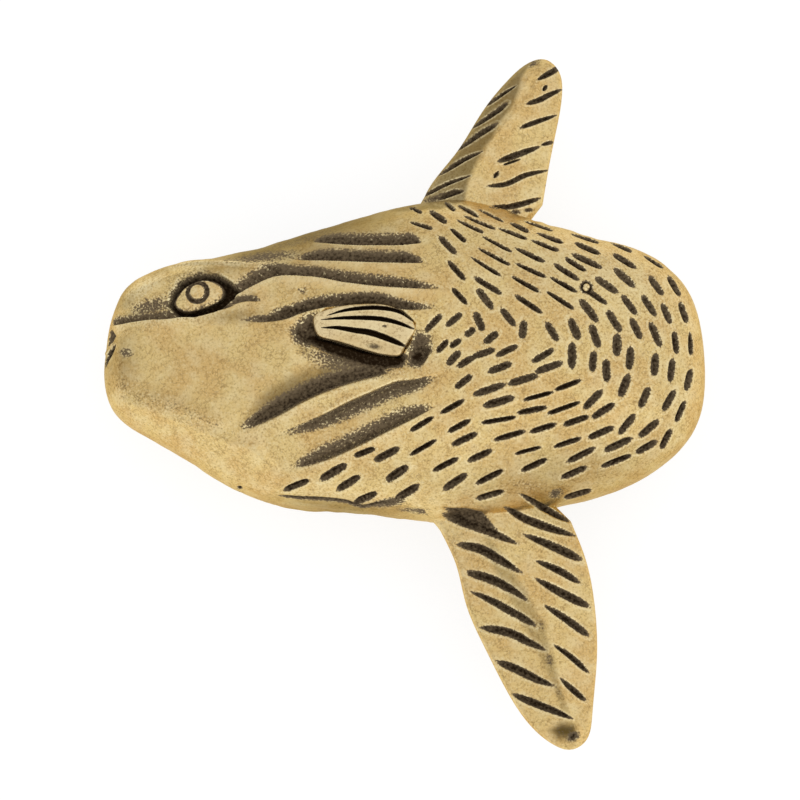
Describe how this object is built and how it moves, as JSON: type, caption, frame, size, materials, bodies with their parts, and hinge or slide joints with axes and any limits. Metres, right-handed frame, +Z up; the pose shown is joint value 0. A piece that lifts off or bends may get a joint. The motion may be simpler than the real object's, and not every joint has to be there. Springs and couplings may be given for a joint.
{
  "type": "fish figurine",
  "caption": "Small cast brass ocean sunfish ornament: hollow two-part body, tall dorsal and anal blade fins, side fins and inset eyes; lies on one flank.",
  "frame": {"origin": "on the surface that the fish lies on, under the middle of its bounding box", "axes": "+X from snout to tail, +Y from belly to back, +Z up, out of the left flank; the fish lies on its right flank"},
  "size_m": [0.045, 0.0526, 0.0144],
  "materials": {
    "body_brass": "cast, brushed high spots, dark patina in the recesses",
    "fin_brass": "cast, brushed high spots, dark patina in the recesses",
    "pectoral_brass": "cast, brushed face, dark patina in the grooves",
    "eye_brass": "polished, dark patina at the rim",
    "pupil_brass": "polished",
    "dowel_brass": "drawn rod, as cut"
  },
  "bodies": {
    "root": {"body_left": "body_brass", "body_right": "body_brass", "dorsal_fin": "fin_brass", "anal_fin": "fin_brass", "pectoral_fin_left": "pectoral_brass", "pectoral_fin_right": "pectoral_brass", "eye_left": "eye_brass", "eye_right": "eye_brass", "pupil_left": "pupil_brass", "pupil_right": "pupil_brass", "locating_dowels": "dowel_brass"}
  },
  "joints": []
}
